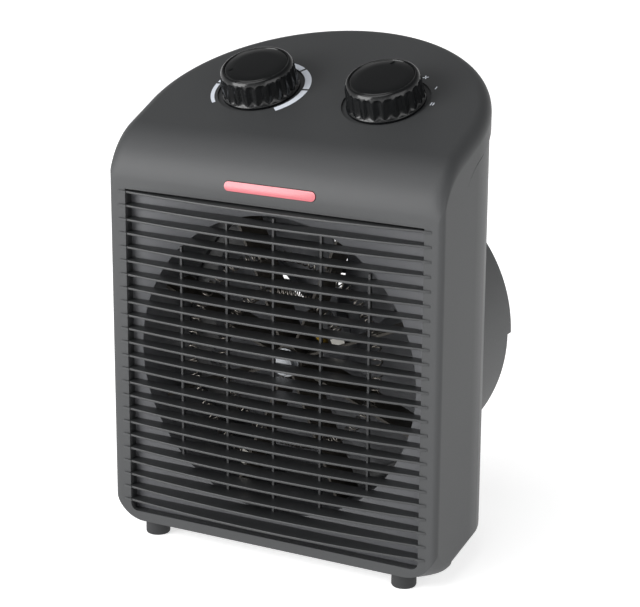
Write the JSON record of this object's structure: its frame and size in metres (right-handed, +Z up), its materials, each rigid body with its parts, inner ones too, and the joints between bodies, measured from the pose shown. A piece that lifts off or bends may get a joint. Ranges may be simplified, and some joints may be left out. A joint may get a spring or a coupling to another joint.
{
  "type": "fan heater",
  "caption": "Upright fan heater with a bowed louvre grille, a sloped deck with two fluted knobs, a D-shaped casing and a round fan housing at the back",
  "frame": {"origin": "On the table, under the middle of the bounding box", "axes": "+X to the heater's left-hand side seen from behind (the viewer's right seen from the front), +Y towards the back, +Z up"},
  "size_m": [0.2, 0.1358, 0.2756],
  "materials": {
    "casing_plastic": "satin moulded charcoal plastic",
    "knob_plastic": "polished black plastic",
    "lens_plastic": "translucent red plastic",
    "duct_plastic": "moulded heat-resistant grey plastic",
    "mica": "pressed mica board",
    "resistance_wire": "drawn nickel-chromium wire",
    "steel": "zinc-plated steel",
    "brass": "turned brass",
    "rubber": "moulded black rubber",
    "lamp_glass": "neon lamp glass",
    "lead_sleeve": "heat-resistant silicone sleeve",
    "phenolic": "moulded phenolic"
  },
  "bodies": {
    "casing": {"front_cover": "casing_plastic", "front_grille": "casing_plastic", "rear_cover": "casing_plastic", "rear_grille": "casing_plastic", "indicator_lens": "lens_plastic", "neon_lamp": "lamp_glass", "lamp_holder": "phenolic", "air_duct": "duct_plastic", "element_frame": "mica", "heating_coil": "resistance_wire", "coil_terminal_inner": "brass", "coil_terminal_outer": "brass", "thermal_cutout": "steel", "motor_can": "steel", "motor_end_cap": "phenolic", "front_bearing": "brass", "rear_bearing": "brass", "motor_bracket": "steel", "bracket_screw_1": "steel", "bracket_screw_2": "steel", "bracket_screw_3": "steel", "bracket_screw_4": "steel", "cord_gland": "rubber", "supply_lead": "lead_sleeve", "front_foot_left": "rubber", "rear_foot_left": "rubber", "top_screw_left": "steel", "bottom_screw_left": "steel", "front_foot_right": "rubber", "rear_foot_right": "rubber", "top_screw_right": "steel", "bottom_screw_right": "steel", "thermostat_nut": "steel", "thermostat": "phenolic", "selector_nut": "steel", "selector_switch": "phenolic"},
    "thermostat_dial": {"thermostat_knob": "knob_plastic", "thermostat_spindle": "brass"},
    "selector_dial": {"selector_knob": "knob_plastic", "selector_spindle": "phenolic"},
    "fan": {"fan_impeller": "duct_plastic", "fan_nut": "brass", "motor_shaft": "steel", "motor_rotor": "steel"}
  },
  "joints": [
    {"name": "thermostat_turn", "type": "hinge", "parent": "casing", "child": "thermostat_dial", "pos_m": [-0.0381, -0.00275, 0.25048], "axis": [0, 0.377, -0.9262], "range_deg": [0, 260]},
    {"name": "selector_turn", "type": "hinge", "parent": "casing", "child": "selector_dial", "pos_m": [0.0381, -0.00275, 0.25048], "axis": [0, 0.377, -0.9262], "range_deg": [0, 82]},
    {"name": "fan_spin", "type": "hinge", "parent": "casing", "child": "fan", "pos_m": [0, 0.0084, 0.1103], "axis": [0, 1, 0], "continuous": true}
  ]
}
